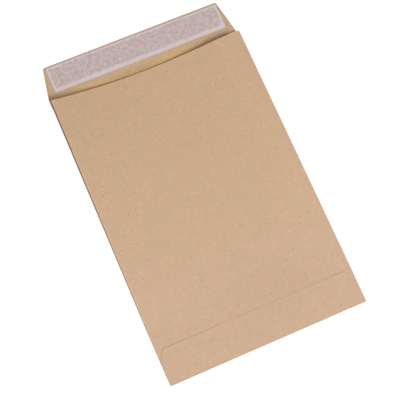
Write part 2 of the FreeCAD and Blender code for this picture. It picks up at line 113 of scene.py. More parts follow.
def makeSheet(name, grids, thickness, finishes, uvGrids=None, marks=None):
    # middle surfaces, joined where their edges coincide, then given the sheet's thickness and cut edges;
    # marks holds the names of point values, each with one grid of numbers for each surface
    points, faces = joinGrids(grids)
    mesh = bpy.data.meshes.new(name)
    mesh.from_pydata((points * mm).tolist(), [], faces.tolist())
    for _ in range(finishes):                   # empty places for the finishes of the two sides
        mesh.materials.append(None)
    for label, values in (marks or {}).items():
        layer = mesh.attributes.new(label, "FLOAT", "POINT")
        layer.data.foreach_set("value", np.concatenate([v.ravel() for v in values]).astype(np.float32))
    if uvGrids is not None:
        spread = np.concatenate([uv.reshape(-1, 2) for uv in uvGrids])
        layer = mesh.uv_layers.new(name="flat")
        layer.data.foreach_set("uv", spread[faces.ravel()].astype(np.float32).ravel())
    work = bmesh.new()
    work.from_mesh(mesh)
    bmesh.ops.remove_doubles(work, verts=work.verts, dist=weldReach * mm)
    work.to_mesh(mesh)
    work.free()
    piece = bpy.data.objects.new(name, mesh)
    bpy.context.scene.collection.objects.link(piece)
    wall = piece.modifiers.new("paper", "SOLIDIFY")
    wall.thickness = thickness * mm
    wall.offset = 0.0
    wall.material_offset = finishes - 1         # the inner side takes the second finish
    wall.use_even_offset = True
    graph = bpy.context.evaluated_depsgraph_get()
    finished = bpy.data.meshes.new_from_object(piece.evaluated_get(graph))
    piece.modifiers.clear()
    piece.data = finished
    finished.name = name
    finished.shade_smooth()
    finished.set_sharp_from_angle(angle=math.radians(sharpAngle))
    return piece


# The pocket's section: a wire through six turns, and at the mouth two more for the bulge and the sag.
# A turn is a centre and a radius that is negative where the wire turns right. The wire runs from the
# front panel's right edge round the pleats to its left edge.

def foldTurns(atMouth):
    # the six folds' turns; a pleat's inner fold lies halfway up, as far in as the other side of a
    # right triangle with half the pleat's paper as its long side and half the rise as its short one
    low = wideRadius
    leftHigh = pocket["liftLeft"] - wideRadius if atMouth else stack - wideRadius
    rightHigh = pocket["liftRight"] - wideRadius if atMouth else stack - wideRadius
    drift = pocket["drift"] if atMouth else 0.0
    frontLeft, frontRight = -foldCentre - pocket["leftOutset"], foldCentre + pocket["rightOutset"]
    backLeft, backRight = frontLeft, frontRight
    if atMouth:
        backLeft = -foldCentre + drift - pocket["mouthOutset"]
        backRight = frontRight + drift + pocket["mouthReach"]
        frontLeft += pocket["mouthInset"]
    leftRise, rightRise = (leftHigh - low) / 2, (rightHigh - low) / 2
    leftRun = math.sqrt(((pocket["gusset"] + drift) / 2) ** 2 - leftRise ** 2)
    rightRun = math.sqrt(((pocket["gusset"] - drift) / 2) ** 2 - rightRise ** 2)
    return [
        ((frontRight, low), foldRadius),
        ((frontRight - rightRun, low + rightRise), -foldRadius),
        ((backRight, rightHigh), foldRadius),
        ((backLeft, leftHigh), foldRadius),
        ((-foldCentre + leftRun, low + leftRise), -foldRadius),
        ((frontLeft, low), foldRadius),
    ]


def saggingTurns(right, left):
    # the bulge touches the right fold, the sag touches the bulge and the left fold, and the sag's
    # lowest point is at its stated height. Each touch makes the square of the distance between two
    # centres that of the sum or difference of their radii, and the two squares taken from each other
    # leave a quadratic for the way across from the left fold to the sag. The radii given back are those
    # of the sheet's middle
    bulge, crest, sag = pocket["crestRadius"], pocket["crest"], pocket["sag"]
    bulgeUp = crest - bulge
    bulgeAcross = right[0] - math.sqrt((bulge - wideRadius) ** 2 - (bulgeUp - right[1]) ** 2)
    slopeLeft = 2 * (wideRadius + left[1] - sag)
    restLeft = wideRadius ** 2 - (left[1] - sag) ** 2
    slopeRight = 2 * (crest - sag)
    restRight = bulge ** 2 - (sag - bulgeUp) ** 2
    ratio = slopeRight / slopeLeft
    span = bulgeAcross - left[0]
    constant = span ** 2 + ratio * restLeft - restRight
    run = constant / (span + math.sqrt(span ** 2 - (1 - ratio) * constant))
    hollow = (run ** 2 - restLeft) / slopeLeft
    return [((bulgeAcross, bulgeUp), bulge - paper / 2),
            ((left[0] + run, sag + hollow), -hollow - paper / 2)]


def heading(first, second, touching):
    # direction in which the wire leaves one turn for the next: square to the line between the centres
    # where they touch, else along that line, turned by the arc sine of the radii's difference over it
    (x1, z1), r1 = first
    (x2, z2), r2 = second
    if touching:
        return math.atan2((x1 - x2) / (r2 - r1), -(z1 - z2) / (r2 - r1))
    return math.atan2(z2 - z1, x2 - x1) + math.asin((r1 - r2) / math.hypot(x2 - x1, z2 - z1))


def arcPoints(turn, headingIn, headingOut, steps):
    # points on a turn's circle, evenly from the heading in to the heading out
    (across, up), radius = turn
    side = math.copysign(1.0, radius)
    sweep = side * ((side * (headingOut - headingIn) + 1e-9) % (2 * math.pi))
    angle = headingIn - side * math.pi / 2 + sweep * np.linspace(0, 1, steps + 1)
    return np.stack([across + abs(radius) * np.cos(angle), up + abs(radius) * np.sin(angle)], axis=-1)


def evenly(path, steps):
    # the same line with its points at equal distances along it
    along = np.concatenate([[0], np.cumsum(np.hypot(*np.diff(path, axis=0).T))])
    places = np.linspace(0, along[-1], steps + 1)
    return np.stack([np.interp(places, along, path[:, axis]) for axis in (0, 1)], axis=-1)


def section(atMouth):
    # the wire's points in order, and the first and last number of the back panel's points among them
    turns = foldTurns(atMouth)
    joins = [False] * 5
    if atMouth:
        turns[3:3] = saggingTurns(turns[2][0], turns[3][0])
        joins = [False, False, True, True, True, False, False]
    headings = [0.0] + [heading(turns[i], turns[i + 1], joins[i]) for i in range(len(turns) - 1)] + [0.0]
    steps = [pocket["foldSteps"]] * len(turns)
    if atMouth:
        steps[3:5] = [pocket["bulgeSteps"], pocket["sagSteps"]]
    arcs = [arcPoints(turn, headings[i], headings[i + 1], steps[i]) for i, turn in enumerate(turns)]
    plies = [evenly(np.stack([arcs[i][-1], arcs[i + 1][0]]), pocket["plySteps"])[1:-1]
             for i in range(len(arcs) - 1)]
    middle = [arcs[2][-1:], arcs[-3][:1]]
    if atMouth:
        middle[1:1] = [arcs[3][1:-1], arcs[4][:-1]]
    panel = evenly(np.concatenate(middle), pocket["panelSteps"])[1:-1]
    order = [arcs[0], plies[0], arcs[1], plies[1], arcs[2], panel,
             arcs[-3], plies[-2], arcs[-2], plies[-1], arcs[-1]]
    start = sum(len(part) for part in order[:5]) - 1
    return np.concatenate(order), start, start + pocket["panelSteps"]


flatWire, panelStart, panelEnd = section(False)
mouthWire, _, _ = section(True)


def throatEdge(across):
    # a shallow arc through the throat's two ends, which dips between them; at the right it rises by
    # the square of the distance past 100 mm, and half of that rise is lost again past 125 mm; at the
    # left it rises by the distance past 20 mm, to the power of 1.5
    ends = halfHeight - pocket["throatSetback"]
    radius = (halfWidth ** 2 + pocket["throatDip"] ** 2) / (2 * pocket["throatDip"])
    rise = pocket["throatRise"] * np.clip((across - 100) / 27, 0, 1) ** 2
    rise = rise * (1 - 0.5 * np.clip((across - 125) / 5, 0, 1))
    rise = rise + pocket["throatLeftRise"] * np.clip((-20 - across) / 107, 0, 1) ** 1.5
    return ends - pocket["throatDip"] + radius - np.sqrt(radius ** 2 - across ** 2) + rise


def unevenness(across, up):
    # a sum of three long waves that cross, in millimetres
    return pocket["waves"] * (np.sin(across / 31 + up / 47 + 0.7) + np.sin(across / 53 - up / 29 + 2.1)
                              + np.sin(across / 17 + up / 83 + 4.0))


def backPanel(fraction, up):
    # the middle of the back panel's sheet: a straight blend, from the bottom to the mouth, of the
    # point at this fraction of the panel's width, with long waves that fade out at its side folds by a
    # power of a sine and towards the bottom flap by a ramp
    places = np.linspace(0, 1, panelEnd - panelStart + 1)
    opened = (up + bottom) / (halfHeight + bottom)
    spots = []
    for axis in (0, 1):
        flat = np.interp(fraction, places, flatWire[panelStart:panelEnd + 1, axis])
        mouth = np.interp(fraction, places, mouthWire[panelStart:panelEnd + 1, axis])
        spots.append(flat + (mouth - flat) * opened)
    fade = np.clip(np.sin(np.pi * fraction), 0, 1) ** 0.7 * np.clip((up + 150) / 60, 0, 1)
    return spots[0], spots[1] + fade * unevenness(spots[0], up)


drawIn = {
    "left": 0.45,               # how far the left folds come in, one run below the start
    "leftStart": -110.0,
    "leftRun": 60.0,
    "right": 0.25,              # the same for the right folds
    "rightStart": -130.0,
    "rightRun": 40.0,
    "most": 1.3,                # runs after which they come in no further
    "flare": 0.7,               # how far the front panel's left edge goes out at the throat
    "flareStart": 177.0,
    "flareRun": 9.0,
    "flareTop": 2.0,            # height above the table at which that has faded out
    "power": 6,                 # by which all of it fades towards the middle
}


def drawnIn(grid):
    # moves the points beside the two side folds inwards near the bottom fold, by a power of their
    # distance below a start, and the front panel's left edge outwards near the throat, by its distance
    # above a start; all of it times a power of the distance from the middle
    across, up, height = grid[..., 0], grid[..., 1], grid[..., 2]
    nearLeft = np.clip(-across / halfWidth, 0, 1.1) ** drawIn["power"]
    nearRight = np.clip(across / halfWidth, 0, 1.1) ** drawIn["power"]
    left = np.clip((drawIn["leftStart"] - up) / drawIn["leftRun"], 0, drawIn["most"]) ** 1.5
    right = np.clip((drawIn["rightStart"] - up) / drawIn["rightRun"], 0, drawIn["most"])
    flare = np.clip((up - drawIn["flareStart"]) / drawIn["flareRun"], 0, 1)
    flare = drawIn["flare"] * flare * nearLeft * np.clip(1 - height / drawIn["flareTop"], 0, 1)
    left, right = drawIn["left"] * left * nearLeft, drawIn["right"] * right * nearRight
    return np.stack([across + left - right - flare, up, height], axis=-1)


# painted shade on the paper, and painted light and shade in the throat
paintedShading = {
    "bottom": 0.030,            # painted shade: how much darker the paper is at the bottom
    "bottomStart": -105.0,
    "bottomRun": 45.0,
    "patch": 0.028,             # in a wide round patch above the right half of the bottom flap
    "patchPlace": (40.0, -128.0),
    "patchReach": (60.0, 42.0),
    "corner": 0.042,            # towards the mouth's left corner
    "flapRight": 0.06,          # on the right half of the seal flap
    "throatLeft": 0.35,         # how much brighter it is at the throat's left end
    "throatMiddle": -0.14,      # left of the throat's middle
    "throatRight": 0.4,
}


def paintedPaperShade(grid):
    # painted shade on the paper: one, less a smooth step towards the bottom, a bell over the patch, two
    # ramps multiplied towards the mouth's left corner, and a step past the middle of the seal flap
    across, up = grid[..., 0], grid[..., 1]
    low = np.clip((paintedShading["bottomStart"] - up) / paintedShading["bottomRun"], 0, 1)
    (patchAcross, patchUp), (reachAcross, reachUp) = paintedShading["patchPlace"], paintedShading["patchReach"]
    patch = np.exp(-((across - patchAcross) / reachAcross) ** 2 - ((up - patchUp) / reachUp) ** 2)
    corner = np.clip((20 - across) / 130, 0, 1) * np.clip((up - 40) / 110, 0, 1)
    beyond = np.clip((across - 50) / 40, 0, 1) * np.clip((up - 187) / 3, 0, 1)
    return (1 - paintedShading["bottom"] * low * low * (3 - 2 * low) - paintedShading["patch"] * patch
            - paintedShading["corner"] * corner - paintedShading["flapRight"] * beyond)


def paintedThroatLight(grid):
    # painted light in the throat, where other plies throw light back, and painted shade left of its
    # middle: one and, in the throat's band only, a ramp to each end and a bell left of the middle
    across, up = grid[..., 0], grid[..., 1]
    within = np.clip((up - 170) / 6, 0, 1) * np.clip((195 - up) / 6, 0, 1)
    level = paintedShading["throatLeft"] * np.clip((-45 - across) / 60, 0, 1)
    level = level + paintedShading["throatMiddle"] * np.exp(-((across + 10) / 30) ** 2)
    level = level + paintedShading["throatRight"] * np.clip((across - 112) / 10, 0, 1)
    return 1 + within * level


print("section of the pocket worked out")

# The sheet

bottomFlap = {
    "depth": 42.4,
    "shoulder": 27.0,           # bottom fold to the start of the slanted corner
    "taper": 8.0,               # narrowing on each side
    "corner": 5.0,
    "gap": 0.03,                # air under the glued part
    "glued": 36.0,              # bottom fold to the end of the glue
    "leastLift": 0.04,          # air under the free edge where it is held best
    "heldAt": 20.0,             # which is this far to the right of the middle
    "edgeLift": 0.16,           # more air under the free edge at 120 mm from there
    "cornerLift": 0.22,         # air under the left slanted side
    "edgeWearAndHighlight": 0.9,            # distances that keep the pale band, wear and painted highlight, of the free edge and the sides faint
    "sideWearAndHighlight": 0.5,
    "rows": 26,
    "foldSteps": 10,
}

sealFlap = {
    "depth": 45.0,
    "taper": 8.0,
    "corner": 3.0,
    "curl": 0.3,                # rise of the far edge off the table
    "drift": -0.5,              # sideways offset of the flap
    "leftDraw": 0.9,            # how much more the flap narrows at the left
    "leftFlare": 0.3,           # how much wider it is there at its fold
    "rows": 34,
    "columns": 110,
}


def roundedHalfWidth(away, depth, start, base, taper, corner):
    # half the width of a flap at a distance from its fold: straight, then narrowing in a straight
    # line to the free edge, with a circle of the corner's radius tangent to both
    slope = taper / (depth - start)
    straight = base - slope * np.clip(away - start, 0, None)
    centreAway = depth - corner
    centreAcross = base - slope * (centreAway - start) - corner * math.sqrt(1 + slope ** 2)
    touch = centreAway + corner * slope / math.sqrt(1 + slope ** 2)
    rounded = centreAcross + np.sqrt(np.clip(corner ** 2 - (away - centreAway) ** 2, 0, None))
    return np.where(away > touch, rounded, straight)


def easedRows(depth, corner, count):
    # distances from a flap's fold: even up to its rounded corners, then by the sine of even angles
    straight = np.linspace(0, depth - corner, count - 9)
    rounded = depth - corner + corner * np.sin(np.linspace(0, np.pi / 2, 10))[1:]
    return np.concatenate([straight, rounded])


def flapHeight(across, away):
    # the open flap's middle: half the paper, plus the square of the distance times a waved rise
    reach = away / sealFlap["depth"]
    wave = 0.5 + 0.5 * np.sin(across / 37 + 0.4) * np.cos(across / 91)
    return paper / 2 + sealFlap["curl"] * reach ** 2 * (0.35 + 0.65 * wave)


def pleatsAndBack():
    # every point of the wire goes straight from the bottom to its place at the mouth, as far as the
    # throat; the second grid holds each point's distance to the nearest fold or cut edge
    share = np.linspace(0, 1, pocket["rows"])[:, None]
    top = throatEdge(mouthWire[:, 0])[None, :]
    up = -bottom + share * (top + bottom)
    along = (up + bottom) / (halfHeight + bottom)
    across = flatWire[None, :, 0] + (mouthWire[:, 0] - flatWire[:, 0])[None, :] * along
    height = flatWire[None, :, 1] + (mouthWire[:, 1] - flatWire[:, 1])[None, :] * along
    fraction = np.linspace(0, 1, panelEnd - panelStart + 1)[None, :] + 0 * share
    panel = slice(panelStart, panelEnd + 1)
    across[:, panel], height[:, panel] = backPanel(fraction, up[:, panel])
    # distances for the pale band at the folds and the cut edge: wear, and at the left fold also a painted
    # highlight over its shade
    wide = pocket["width"] * np.minimum(fraction, pocket["leftWearAndHighlight"] * (1 - fraction))
    fromFold = np.full(across.shape, farAway)
    fromFold[:, panel] = np.minimum(wide, (top - up)[:, panel])
    fromFold[:, panelEnd:panelEnd + pocket["foldSteps"] + 1] = pocket["foldWearAndHighlight"]
    return np.stack([across, up, height], axis=-1), fromFold


def bottomFlapGrid(middle):
    # over the back panel by the paper and some air: the gap under the glue, past it the square of the
    # distance times a lift that grows by the square of the way from where the edge is held best, and
    # a ramp up to the left slanted side; also the distances for wear with painted highlight, and for the
    # darkening that is painted shade near the bottom fold
    away = easedRows(bottomFlap["depth"], bottomFlap["corner"], bottomFlap["rows"])[::-1, None]
    half = roundedHalfWidth(away, bottomFlap["depth"], bottomFlap["shoulder"], foldCentre,
                            bottomFlap["taper"], bottomFlap["corner"])
    up = away - bottom + 0 * middle
    across, top = backPanel(0.5 - (middle - 0.5) * half / foldCentre, up)
    loose = np.clip((away - bottomFlap["glued"]) / (bottomFlap["depth"] - bottomFlap["glued"]), 0, 1) ** 2
    aside = (across - bottomFlap["heldAt"]) / 120
    nearLeft = np.clip(1 - 2 * half * middle / 5, 0, 1) * np.clip((away - 24) / 8, 0, 1)
    lift = bottomFlap["gap"] + loose * (bottomFlap["leastLift"] + bottomFlap["edgeLift"] * aside ** 2)
    lift = (lift + bottomFlap["cornerLift"] * nearLeft) * np.clip(away / 6, 0, 1)
    fromEdge = bottomFlap["depth"] - away + bottomFlap["edgeWearAndHighlight"] + 0 * middle
    fromSide = half * (1 - np.abs(2 * middle - 1)) + bottomFlap["sideWearAndHighlight"]
    # distance for the darkening near the bottom fold, a painted shade
    fromRim = 0.5 + 1.2 * away + 0 * middle
    return np.stack([across, up, top + paper + lift], axis=-1), np.minimum(fromEdge, fromSide), fromRim


def bottomFoldGrid(middle, across):
    # half a turn round the pressed stack, from the bottom flap down to the front panel
    turn = np.linspace(0, np.pi, bottomFlap["foldSteps"] + 1)[1:-1, None]
    radius = stack / 2
    return np.stack([across + 0 * turn, -bottom - radius * np.sin(turn) + 0 * middle,
                     paper / 2 + radius * (1 + np.cos(turn)) + 0 * middle], axis=-1)


def frontGrid(middle, across):
    # flat on the table, from the bottom fold to a straight line through the throat's two ends; the
    # left fold comes in by an even slope towards the mouth
    share = np.linspace(0, 1, pocket["rows"])[:, None]
    leftTop, rightTop = throatEdge(mouthWire[[-1, 0], 0])
    up = -bottom + share * (leftTop + (rightTop - leftTop) * middle + bottom)
    opened = (up + bottom) / (halfHeight + bottom)
    across = across + pocket["mouthInset"] * (1 - middle) ** 4 * opened
    return np.stack([across, up, np.full(up.shape, paper / 2)], axis=-1)


def sealFlapGrid(middle):
    # the flap's half width at each distance from its fold times the place across, with a shift at the
    # left that grows with that distance and fades by a cube towards the right; also the distance to
    # the flap's rim
    beyond = easedRows(sealFlap["depth"], sealFlap["corner"], sealFlap["rows"])[:, None]
    half = roundedHalfWidth(beyond, sealFlap["depth"], 0, halfWidth, sealFlap["taper"], sealFlap["corner"])
    draw = sealFlap["leftDraw"] * beyond / sealFlap["depth"] - sealFlap["leftFlare"]
    across = half * (2 * middle - 1) + sealFlap["drift"] + draw * (1 - middle) ** 3
    fromRim = np.minimum(sealFlap["depth"] - beyond, half * (1 - np.abs(2 * middle - 1)))
    return np.stack([across, halfHeight + beyond + 0 * middle, flapHeight(across, beyond)], axis=-1), fromRim


def glueLapGrid():
    # the side seam's lap, flat inside the front panel, from its own edge to the right fold
    share = np.linspace(0, 1, pocket["rows"])[:, None]
    across = foldCentre + pocket["rightOutset"] - np.linspace(pocket["glueLap"], 0, 8)[None, :]
    up = -bottom + share * (throatEdge(across) - pocket["lapSetback"] + bottom)
    return np.stack([across + 0 * share, up, 1.5 * paper + 0.01 + 0 * up], axis=-1)


def makeEnvelopeSheet():
    # the front ply, from the bottom flap's free edge round the bottom fold and up to the seal flap's
    # far edge, then the back panel with its pleats, then the lap
    middle = np.linspace(0, 1, sealFlap["columns"])[None, :]
    across = (foldCentre * (2 * middle - 1) - pocket["leftOutset"] * (1 - middle) ** 4
              + pocket["rightOutset"] * middle ** 4)
    flap, flapEdge, flapRim = bottomFlapGrid(middle)
    fold, front = bottomFoldGrid(middle, across), frontGrid(middle, across)
    seal, sealRim = sealFlapGrid(middle)
    sides, sidesEdge = pleatsAndBack()
    ply = np.concatenate([drawnIn(np.concatenate([flap, fold, front])), seal])
    grids = [grid[:, ::-1] for grid in (ply, drawnIn(sides), drawnIn(glueLapGrid()))]   # normals outwards
    unmarked = [np.full(grid.shape[:2], farAway) for grid in (fold, front, seal, *grids[1:])]
    plyEdge = np.concatenate([flapEdge, *unmarked[:3]])
    # rim distances: small round the bottom fold, for painted shade there, and the seal flap's to its rim
    plyRim = np.concatenate([flapRim, np.full(fold.shape[:2], 0.3), unmarked[1], sealRim])
    marks = {"fromFold": [plyEdge[:, ::-1], sidesEdge[:, ::-1], unmarked[4]],
             "fromRim": [plyRim[:, ::-1], unmarked[3], unmarked[4]],
             # painted shade on the paper, and painted light and shade in the throat, kept on the points
             "paintedLightAndShade": [paintedPaperShade(grids[0]) * paintedThroatLight(grids[0]), paintedPaperShade(grids[1]), paintedPaperShade(grids[2])]}
    return makeSheet("envelopePaper", grids, paper, 2, None, marks)


envelopePaper = makeEnvelopeSheet()
print("envelope sheet made:", len(envelopePaper.data.polygons), "faces")

# The strips on the flap

strips = {
    "foldMargin": 8.3,          # seal flap's fold to the liner
    "farMargin": 2.2,           # liner to the flap's far edge
    "endMargin": 2.5,           # liner's ends to the flap's far corners, across
    "drift": 0.5,               # sideways offset of both strips
    "skew": 0.08,               # degrees, clockwise
    "liner": 0.08,              # thicknesses
    "adhesive": 0.1,
    "nearInset": 5.4,           # bare liner beside the adhesive
    "farInset": 2.55,
    "endInset": 3.0,
    "bed": 0.02,                # air under the liner
    "ripple": 0.05,             # half the height of the waves in its loose borders
}

linerLength = pocket["width"] - 2 * (sealFlap["taper"] + strips["endMargin"])
linerBreadth = sealFlap["depth"] - strips["foldMargin"] - strips["farMargin"]


def makeStrip(name, under, thickness, nearInset, farInset, endInset, rows, columns, ripple):
    # a rectangle turned by the skew about the liner's middle, laid over the flap's own surface
    across = np.linspace(endInset - linerLength / 2, linerLength / 2 - endInset, columns)[None, :]
    away = np.linspace(nearInset - linerBreadth / 2, linerBreadth / 2 - farInset, rows)[:, None]
    across, away = across + 0 * away, away + 0 * across
    turn = math.radians(-strips["skew"])
    x = across * math.cos(turn) - away * math.sin(turn) + strips["drift"]
    middle = strips["foldMargin"] + linerBreadth / 2
    beyond = across * math.sin(turn) + away * math.cos(turn) + middle
    z = flapHeight(x, beyond) + paper / 2 + under + thickness / 2 + ripple(across, away)
    uv = np.stack([across, away], axis=-1) * mm
    return makeSheet(name, [np.stack([x, halfHeight + beyond, z], axis=-1)], thickness, 1, [uv])


def linerRipple(across, away):
    # an even bed, and at the loose borders a slanting sine times ramps that start 9 mm from the
    # strip's middle line and 108 mm from its middle
    loose = np.clip((np.abs(away) - 9) / 8, 0, 1) + np.clip((np.abs(across) - 108) / 8, 0, 1)
    return strips["bed"] + strips["ripple"] * loose * (1 + np.sin(across / 13 + away / 5))


adhesiveBand = makeStrip("adhesiveBand", 0.0, strips["adhesive"], strips["nearInset"],
                         strips["farInset"], strips["endInset"], 4, 60, lambda across, away: 0 * across)
linerStrip = makeStrip("linerStrip", strips["adhesive"], strips["liner"], 0, 0, 0, 24, 160, linerRipple)
print("strips made")


# Finishes

class Finish:
    # a material whose nodes are added and linked one call at a time
    def __init__(self, name):
        self.material = bpy.data.materials.new(name)
        self.material.use_nodes = True
        self.tree = self.material.node_tree
        self.shader = self.tree.nodes["Principled BSDF"]

    def node(self, kind, inputs=None, **values):
        # inputs are numbers or other nodes' outputs, values are the node's own settings
        made = self.tree.nodes.new(kind)
        for key, value in values.items():
            setattr(made, key, value)
        for key, value in (inputs or {}).items():
            if isinstance(value, bpy.types.NodeSocket):
                self.tree.links.new(value, made.inputs[key])
            else:
                made.inputs[key].default_value = value
        return made

    def objectPlace(self, stretch=(1, 1, 1), turn=0.0):
        # the place in metres, stretched along its axes and turned about Z
        place = self.node("ShaderNodeTexCoord").outputs["Object"]
        return self.node("ShaderNodeMapping", {"Vector": place, "Scale": stretch,
                                               "Rotation": (0, 0, turn)}).outputs["Vector"]

    def noise(self, place, perMetre, detail=3.0, roughness=0.5):
        # soft lumps, with this many to a metre and finer ones on them
        return self.node("ShaderNodeTexNoise", {"Vector": place, "Scale": perMetre, "Detail": detail,
                                                "Roughness": roughness}).outputs["Fac"]

    def between(self, value, low, high, fromLow=0.0, fromHigh=1.0):
        # a straight ramp from low to high as the value goes through its own range, level outside it
        return self.node("ShaderNodeMapRange", {"Value": value, "From Min": fromLow, "From Max": fromHigh,
                                                "To Min": low, "To Max": high}).outputs["Result"]

    def maths(self, operation, first, second=0.0):
        # a sum, product or the like of two numbers or outputs
        return self.node("ShaderNodeMath", {0: first, 1: second}, operation=operation).outputs[0]

    def mix(self, factor, first, second, blend="MIX"):
        # two colours blended by the factor; with MULTIPLY, the first times the second
        made = self.node("ShaderNodeMix", data_type="RGBA", blend_type=blend)
        for socket, value in ((made.inputs[0], factor), (made.inputs[6], first), (made.inputs[7], second)):
            if isinstance(value, bpy.types.NodeSocket):
                self.tree.links.new(value, socket)
            else:
                socket.default_value = value
        return made.outputs[2]

    def use(self, socket, value):
        # a number goes on the shader's own socket, and an output is linked to it
        if isinstance(value, bpy.types.NodeSocket):
            self.tree.links.new(value, self.shader.inputs[socket])
        else:
            self.shader.inputs[socket].default_value = value


def linear(red, green, blue):
    # a screen colour from 0 to 255 in the numbers that a shader takes
    screen = np.array([red, green, blue]) / 255
    return (*np.where(screen > 0.04045, ((screen + 0.055) / 1.055) ** 2.4, screen / 12.92), 1.0)


kraft = {
    "outside": (205, 172, 144),
    "inside": (205, 173, 142),
    "paintedSheenTint": (0.995, 0.985, 0.915),     # painted sheen: yellower towards the mouth, so the bottom looks paler as under a sheen
    "throatTint": (1.06, 0.98, 0.84),       # warm light that plies throw on each other in the pocket
    "paintedSheenRange": (-0.15, 0.19),            # metres up the envelope between which that grows
    "throatRange": (0.188, 0.195),          # and between which the throat's tint fades out
    "grain": 0.022,             # depth of the even fibre grain
    "grainsPerMetre": (800, 700),
    "cloud": 0.012,
    "cloudsPerMetre": 70,
    "fibre": 0.10,              # depth of the curly fibres
    "paleFibres": (260, 0.045),             # per metre, and width
    "darkFibres": (330, 0.040),
    "pink": (1.012, 0.992, 1.0),            # tints of the pulp's wide patches
    "green": (0.99, 1.006, 0.985),
    "patchesPerMetre": 55,
    # colour, cells per metre, size, share of the cells that hold one, stretch and turn of the lattice
    "flecks": (((172, 139, 108), 110, 0.10, 0.16, (1, 0.55, 1), 0.6),
               ((172, 139, 108), 190, 0.09, 0.10, (0.5, 1, 1), 1.3),
               ((220, 192, 163), 130, 0.11, 0.15, (1, 0.5, 1), 2.2)),
    "wearAndHighlight": 0.16,               # lightening of folds and of the back panel's cut edges: wear, and at the left fold a painted highlight over its shade
    "wearAndHighlightWidth": 1.5,
    "wearAndHighlightPerMetre": 120,
    "rimDarkening": (0.80, 0.87, 0.99),             # darker at the seal flap's rim, and painted shade at the bottom fold
    "rimDarkeningWidth": 2.4,
    "roughness": 0.75,
}


def addFlecks(finish, base, colour, perMetre, size, share, stretch, turn):
    # one short fibre in a share of the cells of a random lattice, fading over its own width
    place = finish.objectPlace(stretch, turn)
    cells = finish.node("ShaderNodeTexVoronoi", {"Vector": place, "Scale": perMetre}, voronoi_dimensions="2D")
    pick = finish.node("ShaderNodeSeparateColor", {"Color": cells.outputs["Color"]}).outputs[0]
    chosen = finish.between(pick, 1, 0, share, share + 0.01)
    spot = finish.between(cells.outputs["Distance"], 1, 0, size * 0.4, size)
    strength = finish.between(finish.maths("FRACT", finish.maths("MULTIPLY", pick, 37.0)), 0.35, 1)
    amount = finish.maths("MULTIPLY", finish.maths("MULTIPLY", chosen, spot), strength)
    return finish.mix(amount, base, linear(*colour))


def curlyFibres(finish, perMetre, width, turn, level):
    # a factor that leaves 1 for the level on short lines, where one noise passes its middle and
    # another noise is high
    place = finish.objectPlace((1, 1, 1), turn)
    ridge = finish.maths("ABSOLUTE", finish.maths("SUBTRACT", finish.noise(place, perMetre, 1, 0.5), 0.5))
    line = finish.between(ridge, 1, 0, width * 0.4, width)
    kept = finish.between(finish.noise(place, perMetre * 0.7, 0, 0.5), 0, 1, 0.56, 0.64)
    return finish.between(finish.maths("MULTIPLY", line, kept), 1, level)


